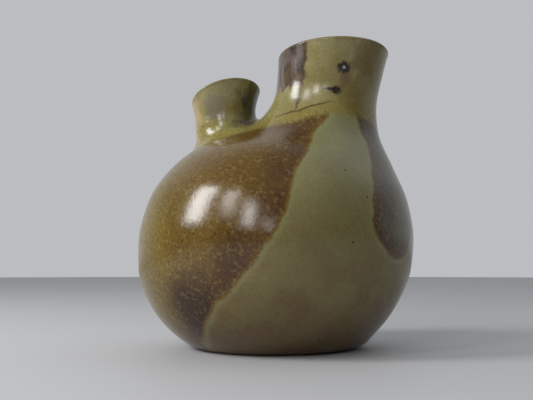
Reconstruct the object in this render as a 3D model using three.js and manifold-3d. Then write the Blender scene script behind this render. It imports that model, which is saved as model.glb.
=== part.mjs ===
// A glazed stoneware vase with two necks: a globe thrown in two halves, with a wide and a narrow
// collar luted to its shoulder and a coil of clay worked into the corner round each collar.
// Millimetres, +Z up. The origin is on the table, under the middle of the globe. +X runs from the
// small neck to the large one.

import * as THREE from "three";
import { mergeVertices, toCreasedNormals } from "three/addons/utils/BufferGeometryUtils.js";
import Module from "manifold-3d";

const wasm = await Module();
wasm.setup();

// Globe: a squarish ellipse turned about an axis that leans towards the large neck, in degrees
const GLOBE_RADIUS = 105.7;
const GLOBE_HALF_HEIGHT = 89.6;
const GLOBE_MIDDLE_HEIGHT = 78.5;
const GLOBE_SQUARENESS = 2.2;
const GLOBE_LEAN = 2.8;
const BODY_WALL = 6;
const FLOOR_THICKNESS = 8;
const SEAM_HEIGHT = 78.5;

// Foot: a turned ring under the globe
const FOOT_OUTER_RADIUS = 51;
const FOOT_WIDTH = 9;
const FOOT_BEVEL = 2;
const FOOT_RECESS = 3;
const FOOT_ROUNDING_HEIGHT = 6;

// Necks: each rim's middle, the lean of its axis, its waist, the flare from the waist up to the
// rim, and the slope of the cut rim. Leans and slopes are in degrees, towards +X and towards +Y.
// A neck is turned down to a root height inside the globe before its root is cut, and its rim is
// cut by a block that is a few waist radii wide.
const LARGE_NECK = {
  rimX: 46,
  rimHeight: 226.6,
  leanX: 8.5,
  leanY: -4,
  waistRadius: 39.7,
  flare: 2.8,
  flareHeight: 28.5,
  rimSlopeX: 2,
  rimSlopeY: -3.8,
  wall: 5,
  blend: 38,
};
const SMALL_NECK = {
  rimX: -43.2,
  rimHeight: 198.3,
  leanX: -3.1,
  leanY: 0,
  waistRadius: 24,
  flare: 4.1,
  flareHeight: 19,
  rimSlopeX: 16.2,
  rimSlopeY: -13,
  wall: 4.5,
  blend: 13.5,
};
const FLARE_POWER = 1.6;
const NECK_ROOT_HEIGHT = 100;
const RIM_CUT_SIZE = 4;

// Luting: the slip in each joint, how thin the edge of a coil is worked, and how deep its back is
// before the walls are cut out of it
const SLIP_GAP = 0.3;
const COIL_EDGE = 0.8;
const COIL_ROOT = 8;

// Facets
const GLOBE_SEGMENTS = 54;
const GLOBE_STEPS = 9;
const FOOT_STEPS = 3;
const NECK_SEGMENTS = 36;
const FLARE_STEPS = 6;
const COIL_STEPS = 6;
const SEARCH_STEPS = 40;
const MERGE_DISTANCE = 1e-3;
const CREASE_ANGLE = THREE.MathUtils.degToRad(35);

// Glaze colours
const OCHRE_GLAZE = 0x7a6a2c;
const PALE_GLAZE = 0x9c9670;
const OLIVE_GLAZE = 0x8d8752;
const UMBER_GLAZE = 0x8a7d4c;
const GLAZE_ROUGHNESS = 0.3;

const UP = new THREE.Vector3(0, 0, 1);
const slope = (degrees) => Math.tan(THREE.MathUtils.degToRad(degrees));

// Turns a closed geometry into a solid that can be cut.
function solidOf(geometry) {
  geometry.deleteAttribute("normal");
  geometry.deleteAttribute("uv");
  const merged = mergeVertices(geometry, MERGE_DISTANCE);
  const corners = merged.index.array;
  const kept = [];
  for (let i = 0; i < corners.length; i += 3) {
    const [a, b, c] = corners.subarray(i, i + 3);
    if (a !== b && b !== c && c !== a) kept.push(a, b, c);
  }
  const vertProperties = new Float32Array(merged.attributes.position.array);
  const triVerts = new Uint32Array(kept);
  return new wasm.Manifold(new wasm.Mesh({ numProp: 3, vertProperties, triVerts }));
}

// Turns a solid into a named mesh in the frame of the group that will hold it.
function meshOf(name, solid, color, frame = new THREE.Matrix4()) {
  const { vertProperties, triVerts } = solid.getMesh();
  const geometry = new THREE.BufferGeometry();
  geometry.setAttribute("position", new THREE.BufferAttribute(new Float32Array(vertProperties), 3));
  geometry.setIndex([...triVerts]);
  geometry.applyMatrix4(frame.clone().invert());
  const material = new THREE.MeshStandardMaterial({ color, roughness: GLAZE_ROUGHNESS, metalness: 0 });
  const mesh = new THREE.Mesh(toCreasedNormals(geometry, CREASE_ANGLE), material);
  mesh.name = name;
  return mesh;
}

// Turns [radius, height] points about +Z.
function turned(profile, segments) {
  const geometry = new THREE.LatheGeometry(profile.map(([x, y]) => new THREE.Vector2(x, y)), segments);
  return geometry.rotateX(Math.PI / 2);
}

// The place between `low` and `high` at which a value that grows along the way passes `target`.
function placeWhere(value, target, low, high) {
  for (let i = 0; i < SEARCH_STEPS; i += 1) {
    const middle = (low + high) / 2;
    if (value(middle) > target) high = middle;
    else low = middle;
  }
  return low;
}

// Joins two distances with a round corner, `blend` wide on each side.
function smoothUnion(a, b, blend) {
  const share = Math.max(0, 1 - Math.abs(a - b) / blend);
  return Math.min(a, b) - (share * share * blend) / 4;
}

// Globe

const GLOBE_TOP = GLOBE_MIDDLE_HEIGHT + GLOBE_HALF_HEIGHT;

// A stretch of the globe's outline, grown by `grow`, as [radius, height] points.
function outline(fromHeight, toHeight, grow) {
  const halfHeight = GLOBE_HALF_HEIGHT + grow;
  const angleAt = (height) => {
    const share = (height - GLOBE_MIDDLE_HEIGHT) / halfHeight;
    return Math.sign(share) * Math.asin(Math.min(1, Math.abs(share) ** (GLOBE_SQUARENESS / 2)));
  };
  const start = angleAt(fromHeight);
  const end = angleAt(toHeight);
  const power = 2 / GLOBE_SQUARENESS;
  const points = [];
  for (let i = 0; i <= GLOBE_STEPS; i += 1) {
    const angle = start + ((end - start) * i) / GLOBE_STEPS;
    const radius = (GLOBE_RADIUS + grow) * Math.max(0, Math.cos(angle)) ** power;
    const rise = halfHeight * Math.sign(angle) * Math.abs(Math.sin(angle)) ** power;
    points.push([radius < MERGE_DISTANCE ? 0 : radius, GLOBE_MIDDLE_HEIGHT + rise]);
  }
  return points;
}

// How far a point is outside the globe.
function globeDistance(point) {
  const power = GLOBE_SQUARENESS;
  const rise = point.z - GLOBE_MIDDLE_HEIGHT;
  const across = Math.hypot(point.x - slope(GLOBE_LEAN) * rise, point.y) / GLOBE_RADIUS;
  const along = Math.abs(rise) / GLOBE_HALF_HEIGHT;
  const level = (across ** power + along ** power) ** (1 / power);
  const outward = across ** (power - 1) / GLOBE_RADIUS;
  const upward = along ** (power - 1) / GLOBE_HALF_HEIGHT;
  const steepness = Math.hypot(outward, upward);
  return ((level - 1) * level ** (power - 1)) / steepness;
}

// A body turned from a profile. It leans by a shift along X in step with its height, so that what
// is level stays level.
function turnedBody(profile) {
  const shift = slope(GLOBE_LEAN);
  const shear = new THREE.Matrix4().makeShear(0, 0, 0, 0, shift, 0);
  const geometry = turned(profile, GLOBE_SEGMENTS).applyMatrix4(shear);
  return solidOf(geometry.translate(-shift * GLOBE_MIDDLE_HEIGHT, 0, 0));
}

// The thrown bowl, with its floor and its turned foot ring
function makeBodyLower() {
  const rim = SEAM_HEIGHT - SLIP_GAP / 2;
  const floorTop = FOOT_RECESS + FLOOR_THICKNESS;
  const footInnerRadius = FOOT_OUTER_RADIUS - FOOT_WIDTH;
  const wall = outline(FOOT_ROUNDING_HEIGHT, rim, 0);
  const [[cornerRadius]] = outline(0, rim, 0);
  const rounding = new THREE.QuadraticBezierCurve(
    new THREE.Vector2(FOOT_OUTER_RADIUS, 0),
    new THREE.Vector2(cornerRadius, 0),
    new THREE.Vector2(...wall[0]),
  );
  return turnedBody([
    [0, FOOT_RECESS],
    [footInnerRadius - FOOT_BEVEL, FOOT_RECESS],
    [footInnerRadius, 0],
    ...rounding.getPoints(FOOT_STEPS).map((point) => [point.x, point.y]),
    ...wall.slice(1),
    ...outline(floorTop, rim, -BODY_WALL).reverse(),
    [0, floorTop],
  ]);
}

// The space under the shoulder, down to a height: the globe grown by `grow` and cut off there
function domeSpace(grow, bottom) {
  return turnedBody([[0, bottom], ...outline(bottom, GLOBE_TOP + grow, grow)]);
}

// The thrown dome, open under each neck
function makeBodyUpper() {
  const hollow = domeSpace(-BODY_WALL, SEAM_HEIGHT - BODY_WALL);
  const shell = domeSpace(0, SEAM_HEIGHT + SLIP_GAP / 2).subtract(hollow);
  const largeBore = neckSpace(LARGE_NECK, -LARGE_NECK.wall);
  const smallBore = neckSpace(SMALL_NECK, -SMALL_NECK.wall);
  return shell.subtract(largeBore).subtract(smallBore);
}

// Necks

// The frame of a neck: its origin is the middle of the rim, and its Z axis runs up the neck.
function neckFrame(neck) {
  const axis = new THREE.Vector3(slope(neck.leanX), slope(neck.leanY), 1).normalize();
  const turn = new THREE.Quaternion().setFromUnitVectors(UP, axis);
  const rimMiddle = new THREE.Vector3(neck.rimX, 0, neck.rimHeight);
  return new THREE.Matrix4().compose(rimMiddle, turn, new THREE.Vector3(1, 1, 1));
}

// The neck's radius at a height above the middle of its rim.
function neckRadius(neck, height) {
  const share = Math.max(0, 1 + height / neck.flareHeight);
  return neck.waistRadius + neck.flare * share ** FLARE_POWER;
}

// How far a point is outside the neck, which runs on without end both ways.
function neckDistance(neck, point) {
  const local = point.clone().applyMatrix4(neckFrame(neck).invert());
  return Math.hypot(local.x, local.y) - neckRadius(neck, local.z);
}

// The space inside the neck's outer face grown by `grow`, from under the shoulder to above the rim
function neckSpace(neck, grow) {
  const bottom = NECK_ROOT_HEIGHT - neck.rimHeight + Math.min(0, grow);
  const top = neck.waistRadius;
  const profile = [[0, bottom], [neck.waistRadius + grow, bottom]];
  for (let i = 0; i <= FLARE_STEPS; i += 1) {
    const height = -neck.flareHeight + ((top + neck.flareHeight) * i) / FLARE_STEPS;
    profile.push([neckRadius(neck, height) + grow, height]);
  }
  profile.push([0, top]);
  return solidOf(turned(profile, NECK_SEGMENTS).applyMatrix4(neckFrame(neck)));
}

// What lies above the slanted cut of the neck's rim
function aboveRim(neck) {
  const size = RIM_CUT_SIZE * neck.waistRadius;
  const normal = new THREE.Vector3(-slope(neck.rimSlopeX), -slope(neck.rimSlopeY), 1).normalize();
  const box = new THREE.BoxGeometry(size, size, size).translate(0, 0, size / 2);
  box.applyQuaternion(new THREE.Quaternion().setFromUnitVectors(UP, normal));
  return solidOf(box.translate(neck.rimX, 0, neck.rimHeight));
}

// A thrown collar: its rim is cut at a slant, and its root fits the shoulder
function makeNeck(neck) {
  const collar = neckSpace(neck, 0).subtract(neckSpace(neck, -neck.wall));
  return collar.subtract(aboveRim(neck)).subtract(domeSpace(SLIP_GAP, SEAM_HEIGHT));
}

// Coils

// One section of the coil that is worked into the corner between a neck and the ground under it.
// Its face is the round corner between the two, and its back is buried in both.
function coilSection(neck, ground, grow, around) {
  const frame = neckFrame(neck);
  const beside = (radius, height) =>
    new THREE.Vector3(radius * Math.cos(around), radius * Math.sin(around), height).applyMatrix4(frame);
  const lift = COIL_EDGE + grow;
  const reach = lift + neck.blend * (1 - 2 * Math.sqrt(COIL_EDGE / neck.blend));
  const lowest = GLOBE_MIDDLE_HEIGHT - neck.rimHeight;
  const onWall = (height) => ground(beside(neckRadius(neck, height) + lift, height));
  const topHeight = placeWhere(onWall, reach, lowest, 0);
  const cornerHeight = placeWhere(onWall, lift, lowest, 0);
  const footRadius = neck.waistRadius + reach;
  const footHeight = placeWhere((height) => ground(beside(footRadius, height)), lift, lowest, 0);
  const top = beside(neckRadius(neck, topHeight) + lift, topHeight);
  const corner = beside(neck.waistRadius + lift, cornerHeight);
  const foot = beside(footRadius, footHeight);
  const outward = top.clone().add(foot).divideScalar(2).sub(corner).normalize();
  const ontoFace = (point) => {
    const at = (place) => outward.clone().multiplyScalar(place).add(point);
    const face = (place) => smoothUnion(ground(at(place)), neckDistance(neck, at(place)), neck.blend);
    return at(placeWhere(face, grow, -neck.blend, neck.blend));
  };
  const curve = new THREE.QuadraticBezierCurve3(top, corner, foot);
  const backRadius = neck.waistRadius - neck.wall / 2;
  return [
    beside(backRadius, topHeight),
    ...curve.getPoints(COIL_STEPS).map(ontoFace),
    beside(footRadius, footHeight - COIL_ROOT),
    beside(backRadius, cornerHeight - COIL_ROOT),
  ];
}

// The closed ring that such sections make around a neck
function coilSpace(neck, ground, grow) {
  const turns = Array.from({ length: NECK_SEGMENTS }, (_, i) => (2 * Math.PI * i) / NECK_SEGMENTS);
  const sections = turns.map((around) => coilSection(neck, ground, grow, around));
  const size = sections[0].length;
  const index = [];
  for (let i = 0; i < NECK_SEGMENTS; i += 1) {
    const here = i * size;
    const next = ((i + 1) % NECK_SEGMENTS) * size;
    for (let j = 0; j < size; j += 1) {
      const k = (j + 1) % size;
      index.push(here + j, here + k, next + k);
      index.push(here + j, next + k, next + j);
    }
  }
  const geometry = new THREE.BufferGeometry().setFromPoints(sections.flat());
  geometry.setIndex(index);
  return solidOf(geometry);
}

const largeCoilSpace = (grow) => coilSpace(LARGE_NECK, globeDistance, grow);

function makeLargeCoil() {
  const coil = largeCoilSpace(0).subtract(domeSpace(SLIP_GAP, SEAM_HEIGHT));
  return coil.subtract(neckSpace(LARGE_NECK, SLIP_GAP)).subtract(neckSpace(SMALL_NECK, SLIP_GAP));
}

// The small neck's coil lies partly on the large neck's.
function makeSmallCoil() {
  const ground = (point) => {
    const besideLarge = neckDistance(LARGE_NECK, point);
    return smoothUnion(globeDistance(point), besideLarge, LARGE_NECK.blend);
  };
  const coil = coilSpace(SMALL_NECK, ground, 0).subtract(domeSpace(SLIP_GAP, SEAM_HEIGHT));
  const besideSmall = coil.subtract(neckSpace(SMALL_NECK, SLIP_GAP));
  return besideSmall.subtract(neckSpace(LARGE_NECK, SLIP_GAP)).subtract(largeCoilSpace(SLIP_GAP));
}

// The collar and its coil, in a group that stands at the middle of the rim
function neckGroup(neck, name, collar, coil, color) {
  const frame = neckFrame(neck);
  const group = new THREE.Group();
  frame.decompose(group.position, group.quaternion, group.scale);
  group.add(meshOf(name, collar, color, frame));
  group.add(meshOf(`${name}_coil`, coil, color, frame));
  return group;
}

const vase = new THREE.Group();
vase.add(meshOf("body_lower", makeBodyLower(), PALE_GLAZE));
vase.add(meshOf("body_upper", makeBodyUpper(), OCHRE_GLAZE));
vase.add(neckGroup(LARGE_NECK, "large_neck", makeNeck(LARGE_NECK), makeLargeCoil(), OLIVE_GLAZE));
vase.add(neckGroup(SMALL_NECK, "small_neck", makeNeck(SMALL_NECK), makeSmallCoil(), UMBER_GLAZE));

export default vase;
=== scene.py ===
"""A glazed stoneware vase with a wide and a narrow neck, on a plain floor.

The body and the necks are separate closed pieces. They share the points along their seams, and all
of them follow one outer surface: a leaning globe that runs into both necks in round corners.
"""

import math

import bpy
import numpy as np
from bpy.props import FloatProperty, FloatVectorProperty, PointerProperty
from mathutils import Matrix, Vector
from mathutils.geometry import delaunay_2d_cdt


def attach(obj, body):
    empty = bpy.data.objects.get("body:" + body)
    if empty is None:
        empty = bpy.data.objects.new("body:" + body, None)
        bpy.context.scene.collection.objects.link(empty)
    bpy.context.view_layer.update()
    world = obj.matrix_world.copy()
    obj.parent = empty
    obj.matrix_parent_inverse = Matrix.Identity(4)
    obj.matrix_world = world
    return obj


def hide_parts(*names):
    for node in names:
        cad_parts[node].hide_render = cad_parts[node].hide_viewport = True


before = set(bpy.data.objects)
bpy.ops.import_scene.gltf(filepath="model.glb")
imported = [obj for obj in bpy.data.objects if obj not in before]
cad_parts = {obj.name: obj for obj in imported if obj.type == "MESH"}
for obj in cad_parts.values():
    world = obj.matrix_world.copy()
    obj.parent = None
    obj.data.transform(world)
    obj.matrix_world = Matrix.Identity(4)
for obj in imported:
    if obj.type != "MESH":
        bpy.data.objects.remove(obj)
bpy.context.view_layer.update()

bl_info = {
    "name": "Two-necked vase",
    "version": (1, 1, 0),
    "blender": (4, 5, 0),
    "location": "View3D > Sidebar > Vase",
    "description": "Builds a glazed stoneware vase with two necks",
    "category": "Object",
}

# Sizes are in millimetres and angles in degrees until a mesh is written.
MM = 0.001
UNITS = {"LENGTH": MM, "ROTATION": math.radians(1), "NONE": 1.0}

# Body: a squarish ellipse turned about an axis that leans towards the large neck, on a foot ring
BODY = {
    "radius": 105.7,
    "half_height": 89.6,
    "middle": 78.5,
    "squareness": 2.2,
    "lean": 2.8,
    "wall": 6.0,
    "floor_top": 11.0,
    "floor_corner": 14.0,
    "foot_radius": 51.0,
}
# Foot: the turned ring as radius and height, from the recess out to its resting face
FOOT_PROFILE = ((0, 3), (20, 3), (38.5, 3), (40.2, 2.6), (41.4, 1.0), (42.4, 0.2), (43.4, 0), (47, 0))
FOOT_ROUNDING_HEIGHT = 6.0
FOOT_ROUNDING_FULLNESS = 0.9

# Necks: the rim's middle, the lean of the axis and the slope of the rim along X and Y, the waist, the
# flare up to the rim, the wall, the round corner at the root, and where the seam with the body runs
LARGE_NECK = {
    "rim": (46.0, 0.0, 226.6),
    "lean": (8.5, -4.0),
    "rim_slope": (2.0, -3.8),
    "waist": 39.7,
    "flare": 2.8,
    "flare_height": 28.5,
    "wall": 5.0,
    "lip": 2.3,
    "blend": 38.0,
    "seam": 60.0,
    "seam_near": 45.5,
    "near_azimuth": 180.0,
    "straight_from": -31.0,
    "columns": 160,
}
SMALL_NECK = {
    "rim": (-43.2, 0.0, 198.3),
    "lean": (-3.1, 0.0),
    "rim_slope": (16.2, -13.0),
    "waist": 24.0,
    "flare": 4.1,
    "flare_height": 19.0,
    "wall": 4.5,
    "lip": 2.0,
    "blend": 13.5,
    "seam": 34.5,
    "seam_near": 28.0,
    "near_azimuth": 0.0,
    "straight_from": -16.0,
    "columns": 112,
}
FLARE_POWER = 1.6
BORE_BLEND = 8.0
# A point belongs to a neck within this share of its waist
NECK_REACH = 1.3
# Where a seam starts to draw in beside the other neck, and over how much it does, as cosines
SEAM_DRAW_START = 0.15
SEAM_DRAW = 0.75

# Unevenness of the throwing: how high its rings, its swell and its dents are
RING_WAVE = 0.16
SWELL_WAVE = 0.30
DENT_WAVE = 0.22
# The foot is turned true, and the unevenness fades in above it
WAVES_FROM = 6
WAVES_FADE = 16

# Mesh
BELLY_COLUMNS = 224
BELLY_ROWS = 40
RING_STEP = math.radians(1.6)
LEAST_COLUMNS = 6
SEAM_MARGIN = 1.6
FOOT_ROWS = 8
CORNER_ROWS = 16
BORE_CORNER_ROWS = 12
LIP_ROWS = 10
ROW_HEIGHT = 2.0
LEAST_ROWS = 6
# Rays look for a surface in steps, and halve the step that crosses it
RAY_STEP = 0.8
RAY_HALVINGS = 34
REACH = 136.0
WALL_REACH = 14.0
BORE_START = 4.0
SLOPE_STEP = 0.05
RIM_ROUNDS = 30
# Depths of the glazes are held up to this far from their edges
DEPTH_LIMIT = 60.0
FAR = 1e9
TINY = 1e-9

# The sizes that the panel shows: label, description and kind
BODY_TEXTS = {
    "radius": ("Radius", "Half the width of the globe", "LENGTH"),
    "half_height": ("Half height", "Half the height of the globe", "LENGTH"),
    "middle": ("Middle", "Height of the widest place", "LENGTH"),
    "squareness": ("Squareness", "2 is an ellipse, and more is squarer", "NONE"),
    "lean": ("Lean", "How far the axis leans towards the large neck", "ROTATION"),
    "wall": ("Wall", "Thickness of the wall", "LENGTH"),
    "floor_top": ("Floor", "Height of the top of the floor", "LENGTH"),
    "floor_corner": ("Floor corner", "Width of the round corner between floor and wall", "LENGTH"),
    "foot_radius": ("Foot", "Outer radius of the foot ring", "LENGTH"),
}
NECK_TEXTS = {
    "rim": ("Rim", "Middle of the rim", "LENGTH"),
    "lean": ("Lean", "How far the axis leans along X and Y", "ROTATION"),
    "rim_slope": ("Rim slope", "How far the rim rises along X and Y", "ROTATION"),
    "waist": ("Waist", "Radius of the straight part", "LENGTH"),
    "flare": ("Flare", "How much wider the rim is than the waist", "LENGTH"),
    "flare_height": ("Flare height", "How far below the rim the flare starts", "LENGTH"),
    "wall": ("Wall", "Thickness of the wall", "LENGTH"),
    "lip": ("Lip", "Height of the rounded lip", "LENGTH"),
    "blend": ("Root", "Width of the round corner at the root", "LENGTH"),
}

# Edges of the glaze pours, as azimuth in degrees and height. Each outline is closed.
LEFT_POUR = (
    (-38, 176), (-38, 171), (-45, 163), (-54, 153), (-61, 138), (-66, 129), (-69, 118), (-70, 106),
    (-72, 96), (-75, 86), (-79, 76), (-83, 64), (-88, 55), (-91, 48), (-95, 42), (-100, 37),
    (-104, 27), (-109, 22), (-113, 14), (-121, 7), (-126, -12), (-199, -12), (-203, 12), (-212, 38),
    (-207, 70), (-209, 96), (-218, 120), (-223, 146), (-221, 176),
)
RIGHT_POUR = (
    (-22, 176), (-22, 169), (-22, 153), (-25, 140), (-32, 125), (-36, 107), (-38, 94), (-37, 84),
    (-33, 76), (-29, 70), (-23, 66), (-16, 67), (-11, 73), (-8, 80), (-3, 91), (5, 99),
    (15, 97), (25, 84), (33, 74), (42, 73), (50, 84), (56, 106), (59, 130), (62, 176),
)
# Lower edge of the neck glaze, as azimuth about the vase and height
NECK_GLAZE_EDGE = (
    (-180, 147), (-165, 149), (-150, 154), (-135, 157), (-120, 159), (-102, 161.5), (-88, 163.5),
    (-72, 165), (-57, 167), (-45, 171), (-38, 173.5), (-20, 172), (0, 166), (30, 168), (60, 170),
    (100, 165), (130, 160), (150, 156), (165, 150), (180, 147),
)

# Iron wash on the large neck, as azimuth about its axis in degrees and height above its rim
IRON_WASH = (
    (-104, 9), (-104, -12), (-105, -24), (-106, -37), (-107, -53), (-110, -43), (-112, -34),
    (-117, -28), (-121, -35), (-126, -31), (-133, -36), (-141, -33), (-150, -41), (-158, -33),
    (-166, -38), (-174, -26), (-183, -18), (-192, 9),
)

# Glaze colours, as screens show them in even light, and what each one colours
GLAZE = {
    "pale_top": ((134, 131, 92), "Pale glaze on the shoulder"),
    "pale_low": ((116, 104, 62), "Pale glaze on the belly"),
    # Painted shade and painted warm bounce light: the pale glaze darker and warmer beside the foot
    "pale_foot_painted_shade": ((92, 70, 36), "Pale glaze beside the foot"),
    "pale_cloud": ((112, 106, 70), "Clouds in the pale glaze"),
    "pale_blotch": ((94, 66, 34), "Warm patches low in the pale glaze"),
    "pale_halo": ((132, 134, 86), "Pale glaze along a pour"),
    "ochre": ((100, 76, 22), "Left pour"),
    # Partly the pour's own olive tone, partly painted light on the side towards the panel lights
    "ochre_olive_painted_light": ((112, 94, 28), "Left pour, on its far side"),
    "ochre_deep": ((84, 60, 16), "Clouds in the left pour"),
    "ochre_brown": ((76, 46, 22), "Band inside the left pour's edge"),
    "ochre_dark": ((46, 20, 8), "Dark runs in the left pour"),
    "ochre_edge": ((112, 84, 24), "Line along the left pour's edge"),
    "dun": ((84, 76, 46), "Right pour"),
    "dun_deep": ((68, 58, 38), "Clouds in the right pour"),
    "dun_rust": ((84, 54, 26), "Band inside the right pour's edge"),
    "dun_edge": ((112, 92, 36), "Line along the right pour's edge"),
    "neck_pale": ((144, 136, 92), "Necks"),
    "neck_olive": ((128, 118, 70), "Clouds on the necks"),
    "neck_yellow": ((130, 116, 46), "Lower edge of the neck glaze"),
    "neck_line": ((70, 48, 14), "Dark line at the large neck's root"),
    "wash_violet": ((100, 88, 88), "Iron wash"),
    "wash_umber": ((52, 38, 34), "Dark streaks in the iron wash"),
    "wash_brown": ((96, 76, 52), "Clouds in the iron wash"),
    "iron": ((34, 24, 32), "Iron spots"),
    # Painted glint: a bluish white highlight painted in the middle of the largest iron spot
    "iron_painted_glint": ((168, 166, 178), "Middle of the largest iron spot"),
    "lip_brown": ((92, 74, 40), "Worn lips"),
    "speckle_dark": ((150, 122, 92), "Dark grains, by which the glaze is multiplied"),
    "speckle_light": ((92, 84, 50), "Light grains, which are screened over the glaze"),
    "pinhole": ((30, 20, 12), "Pinholes and pits"),
    "bare_clay": ((104, 78, 54), "Bare clay under the foot"),
}

# Patches: size in millimetres, the noise levels between which they fade in, and strength
PATCHES = {
    "pale_cloud": (30, 0.35, 0.65, 0.3),
    "pale_blotch": (22, 0.45, 0.62, 0.45),
    "ochre_cloud": (36, 0.35, 0.65, 0.35),
    "ochre_band": (16, 0.2, 0.6, 0.75),
    "dun_cloud": (24, 0.35, 0.65, 1.0),
    "wash_cloud": (14, 0.42, 0.62, 0.6),
    "neck_cloud": (24, 0.35, 0.65, 1.0),
    "lip_wear": (9, 0.3, 0.55, 0.6),
}
# Fades: the depths in millimetres between which a glaze, a band or a line fades in, and strength
FADES = {
    "pale_halo": (-5, -0.5, 0.4),
    "ochre": (-0.5, 1.6, 1.0),
    "ochre_band": (30, 9, 1.0),
    "ochre_line": (3.6, 1.2, 0.75),
    "dun": (-0.5, 1.8, 1.0),
    "dun_band": (14, 5, 0.7),
    "dun_line": (3.2, 1.0, 0.7),
    "neck": (-2.5, 2.5, 1.0),
    "neck_yellow": (14, 4, 0.7),
    "neck_line_under": (7.2, 8.4, 0.8),
    "neck_line_over": (10, 8.8, 1.0),
    "wash": (-0.8, 2.2, 0.92),
    "lip": (4.5, 0.8, 1.0),
    "speckle": (-1, 2, 1.0),
}
# Heights and places along X in metres between which the glaze changes
PALE_RISE = (0.06, 0.165)
# The fall towards the foot is painted shade and painted warm bounce light
PALE_SHADE_FALL = (0.05, 0.008)
BLOTCH_FALL = (0.1, 0.03)
# The olive side of the left pour is partly its own tone, partly painted light from the panel lights'
# side
OLIVE_LIGHT_SIDE = (-0.02, -0.08)
FOOT_EDGE = (0.0035, 0.0015)

# Dark runs low in the left pour: place, radius and strength
OCHRE_DRIPS = (
    ((-34, -88, 30), (20, 20, 30), 0.85),
    ((-24, -62, 4), (26, 26, 14), 0.8),
    ((-4, -100, 72), (12, 12, 22), 0.35),
)
# Marks on the necks: neck, azimuth, height above the rim, radius, screen colour and strength
NECK_MARKS = (
    (LARGE_NECK, -36, -4, (16, 16, 14), (98, 70, 30), 0.5),
    (LARGE_NECK, -30, -30, (20, 20, 30), (108, 92, 46), 0.5),
    (LARGE_NECK, -61, -22, (3.5, 3.5, 6), (104, 70, 52), 0.6),
    (LARGE_NECK, -108, -46, (2.6, 3.5, 11), (48, 38, 28), 0.85),
    (LARGE_NECK, -128, -5, (6, 7, 7), (30, 20, 20), 0.8),
    (SMALL_NECK, -150, -18, (13, 13, 22), (170, 150, 112), 0.8),
    (SMALL_NECK, -84, -13, (12, 9, 11), (112, 104, 84), 0.85),
    (SMALL_NECK, -52, -12, (8, 8, 9), (132, 118, 58), 0.7),
    (SMALL_NECK, -18, -14, (12, 13, 22), (66, 58, 36), 0.85),
    (SMALL_NECK, -34, -8, (2.5, 2.5, 7), (40, 34, 26), 0.8),
    (SMALL_NECK, -44, -27, (10, 8, 4), (54, 44, 52), 0.75),
    (SMALL_NECK, -90, -30, (22, 12, 7), (134, 126, 62), 0.7),
)
# Iron spots on the large neck: azimuth, height above the rim and radius
IRON_SPOTS = (
    (-64.5, -14.5, (5.2, 4, 4.2)),
    (-69.7, -31.8, (4.0, 3, 3.0)),
    (-76, -31, (4.5, 3, 1.2)),
)
IRON_STRENGTH = 0.92
# Radius of the painted glint in the middle of the largest iron spot
PAINTED_GLINT_RADIUS = 1.1
# How uneven the edges of spots are: wobble, its size in millimetres, and softness
DRIP_EDGE = (0.9, 14, 0.5)
MARK_EDGE = (1.5, 7, 0.5)
IRON_EDGE = (1.4, 2.5, 0.35)
PAINTED_GLINT_EDGE = (0.4, 3, 0.4)
LINE_EDGE = (1.0, 8, 0.4)
PIT_EDGE = (0.8, 1.5, 0.4)
# The dark line shows only here: place and radius
LINE_PLACE = (36, -44, 174)
LINE_RADIUS = (24, 16, 12)

# Iron wash: how much finer its streaks are across than along, their size and their noise levels
STREAK_STRETCH = (1, 1, 0.28)
STREAK_SIZE = 7
STREAK_LEVELS = (0.4, 0.56)
RAGGED_SIZE = 6
RAGGED_DEPTH = 9

# Noises in the glaze, in millimetres, and how far the broad one moves the glazes' edges
FINE_SIZE = 1.3
GRAIN_SIZE = 2.8
BROAD_SIZE = 11
EDGE_WOBBLE = 4.0
NOISE_MIDDLE = 0.5
# Speckle: its strength on the pale glaze, what the pours add, and its noise levels
SPECKLE_PALE = 0.22
SPECKLE_POUR = 0.38
DARK_LEVELS = (0.5, 0.36)
LIGHT_LEVELS = (0.52, 0.7)
# Pinholes: their cells in millimetres, the share of a cell at their edge, how few cells have one
PINHOLE_CELL = 13
PINHOLE_EDGE = (0.06, 0.03)
PINHOLE_RARITY = 0.84
PINHOLE_STRENGTH = 0.85
# Single pits in the pale glaze
PITS = ((66, -67, 127), (80, -64, 109), (72, -77, 78), (-25, -101, 58))
PIT_RADIUS = 0.8
# Relief in millimetres, and roughness
BROAD_RELIEF = 0.12
GRAIN_RELIEF = 0.06
FINE_RELIEF = 0.03
POUR_RELIEF = 0.06
PINHOLE_RELIEF = 0.3
GLOSS = 0.14
GRAIN_ROUGHNESS = 0.12
CLAY_ROUGHNESS = 0.5
GLAZE_IOR = 1.5

# Stage: panel lights, as azimuth and elevation in degrees, width and height in metres, and watts
WINDOWS = (
    ("window_far_left", -147, 29, 0.44, 0.68, 15.0),
    ("window_left", -117, 32, 0.28, 0.46, 3.6),
    ("window_middle", -97, 21, 0.22, 0.42, 3.4),
    ("window_right", -81, 14, 0.14, 0.24, 0.7),
)
WINDOW_DISTANCE = 1.5
WINDOW_AIM = (0, 0, 0.1)
# Light from round about: the axis, where it starts, where it is full, and how much it adds
SURROUND_LIGHT = (("Y", -0.1, 0.6, 0.42), ("Z", 0.2, 0.9, 0.25), ("X", -0.2, -0.9, 0.12))
SURROUND_LEAST = 0.08
SURROUND_TINT = (0.94, 0.97, 1, 1)
FLOOR_SIDES = 96
FLOOR_RADIUS = 4.0
FLOOR_ROUGHNESS = 0.6
SENSOR_WIDTH = 36


def srgb(red, green, blue):
    """Turns a screen colour, 0 to 255, into a linear colour."""
    parts = [value / 255 for value in (red, green, blue)]
    linear = [v / 12.92 if v <= 0.04045 else ((v + 0.055) / 1.055) ** 2.4 for v in parts]
    return (*linear, 1.0)


# Surfaces


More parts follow.
